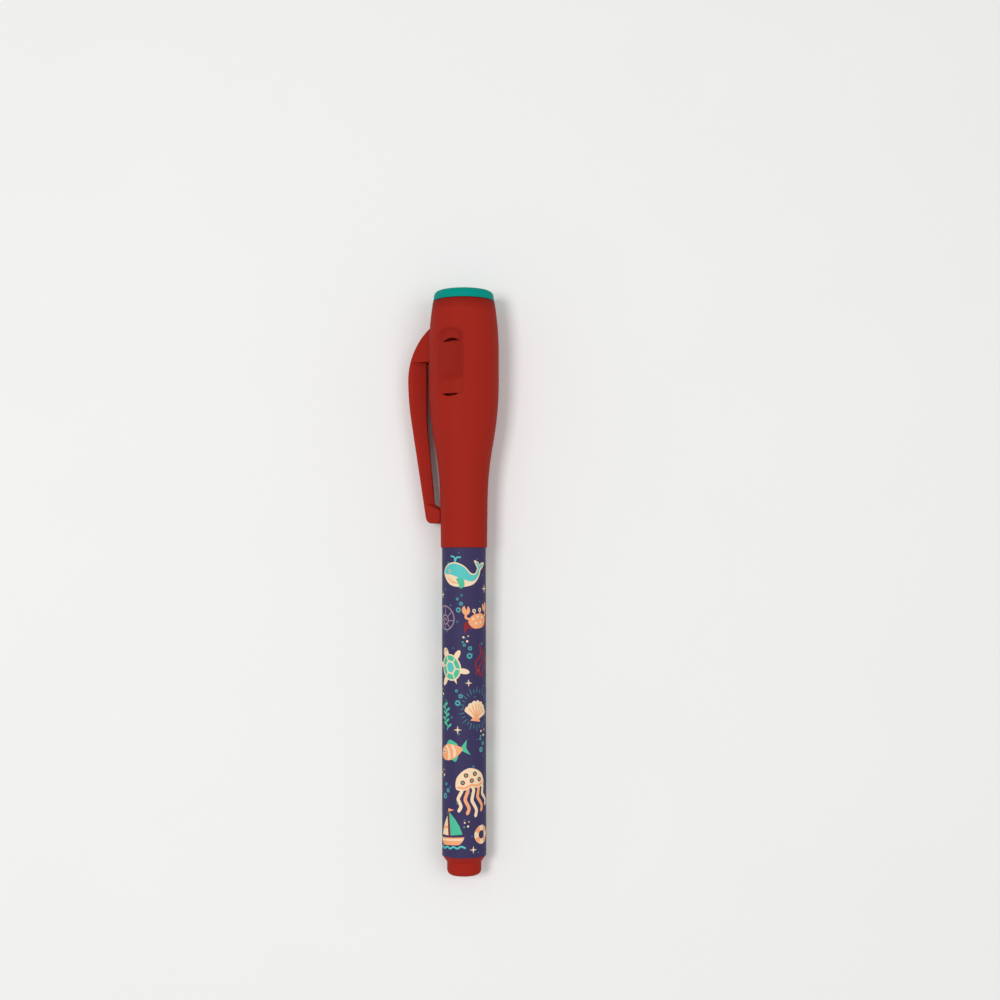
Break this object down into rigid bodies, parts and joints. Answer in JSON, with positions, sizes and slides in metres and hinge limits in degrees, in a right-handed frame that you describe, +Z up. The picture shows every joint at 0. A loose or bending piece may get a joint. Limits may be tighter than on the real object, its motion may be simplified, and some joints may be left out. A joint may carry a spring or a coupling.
{
  "type": "uv invisible ink pen",
  "caption": "Capped fibre-tip pen lying on its side, with an ultraviolet lamp and push button in its cap, a pocket clip and a printed barrel.",
  "frame": {"origin": "on the table, at the middle of the lying pen's footprint", "axes": "+X along the pen from the lamp end to the tail, which lies lower by the pen's resting tilt; -Y the side the clip is on; +Z up"},
  "size_m": [0.1371, 0.0218, 0.0169],
  "materials": {
    "cap_red": "satin moulded plastic",
    "collar_teal": "satin moulded plastic",
    "lens_clear": "clear moulded plastic",
    "sleeve_print": "printed shrink film",
    "white_plastic": "satin moulded plastic",
    "dark_plastic": "satin moulded plastic",
    "fibre": "bonded fibre",
    "clear_film": "clear film",
    "lamp_resin": "clear cast resin",
    "tinned_wire": "tinned",
    "cell_steel": "polished",
    "screw_steel": "zinc plated",
    "brass_strip": "plain",
    "black_rubber": "matte"
  },
  "bodies": {
    "pen": {"barrel": "white_plastic", "printed_sleeve": "sleeve_print", "end_plug": "cap_red", "nib_section": "collar_teal", "fibre_nib": "fibre", "ink_reservoir": "fibre", "reservoir_film": "clear_film"},
    "cap": {"cap_shell": "cap_red", "inner_cap": "white_plastic", "battery_carrier": "dark_plastic", "button_cell_1": "cell_steel", "button_cell_2": "cell_steel", "button_cell_3": "cell_steel", "cell_spring": "tinned_wire", "contact_strip": "brass_strip", "anode_lead": "tinned_wire", "cathode_lead": "tinned_wire", "uv_lamp": "lamp_resin", "reflector": "white_plastic", "locking_screw": "screw_steel"},
    "button": {"push_button": "cap_red"},
    "clip": {"pocket_clip": "cap_red"},
    "gasket": {"collar_gasket": "black_rubber"},
    "collar": {"lamp_collar": "collar_teal", "lamp_lens": "lens_clear"}
  },
  "joints": [
    {"name": "cap_pull", "type": "slide", "parent": "pen", "child": "cap", "axis": [-0.9996, 0, 0.0286], "range_m": [0, 0.036]},
    {"name": "button_press", "type": "slide", "parent": "cap", "child": "button", "axis": [-0.0266, 0.3691, -0.929], "range_m": [0, 0.0007], "stiffness_N_per_m": 800, "deforming": ["contact_strip"]},
    {"name": "clip_flex", "type": "hinge", "parent": "cap", "child": "clip", "pos_m": [-0.05142, -0.00937, 0.00272], "axis": [-0.0258, 0.433, -0.901], "range_deg": [0, 4], "stiffness_Nm_per_rad": 1},
    {"name": "collar_lift", "type": "slide", "parent": "cap", "child": "gasket", "axis": [-0.9996, 0, 0.0286], "range_m": [0, 0.00375]},
    {"name": "collar_turn", "type": "hinge", "parent": "gasket", "child": "collar", "pos_m": [-0.06847, 0.00256, 0.00894], "axis": [-0.9996, 0, 0.0286], "range_deg": [0, 900]}
  ],
  "couplings": [
    {"joint": "collar_turn", "follows": "collar_lift", "rad_per_m": 4188.8}
  ]
}
